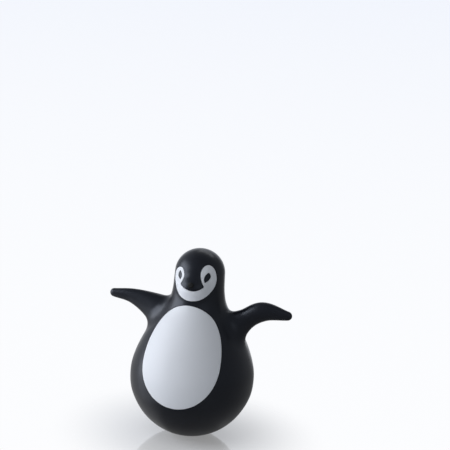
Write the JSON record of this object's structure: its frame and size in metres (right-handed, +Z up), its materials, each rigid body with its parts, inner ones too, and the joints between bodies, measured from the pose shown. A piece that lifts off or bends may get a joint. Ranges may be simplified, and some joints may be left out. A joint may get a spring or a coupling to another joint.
{
  "type": "roly-poly toy penguin",
  "caption": "Free-standing self-righting toy penguin: round-bottomed black moulded body with raised wings, white egg-shaped belly panel and white face mask, weighted foot.",
  "frame": {"origin": "centre of the flat foot on the underside, where the toy rests", "axes": "+Z up through the head, -Y towards the belly and face, +X towards the toy's own left wing"},
  "size_m": [0.3134, 0.2068, 0.32],
  "materials": {
    "black_plastic": "satin black with a faint blue tint",
    "white_plastic": "satin cool white",
    "black_gloss_plastic": "smooth black",
    "cast_iron": "raw sand-cast skin",
    "rubber": "matte black",
    "zinc_plated_steel": "bright zinc plating"
  },
  "bodies": {
    "root": {"body_shell": "black_plastic", "belly_panel": "white_plastic", "face_mask": "white_plastic", "right_eye": "black_plastic", "left_eye": "black_plastic", "nose": "black_gloss_plastic", "ballast_weight": "cast_iron", "ballast_pad": "rubber", "ballast_bolt": "zinc_plated_steel", "ballast_washer": "zinc_plated_steel", "ballast_nut": "zinc_plated_steel", "base_plug": "rubber"}
  },
  "joints": []
}
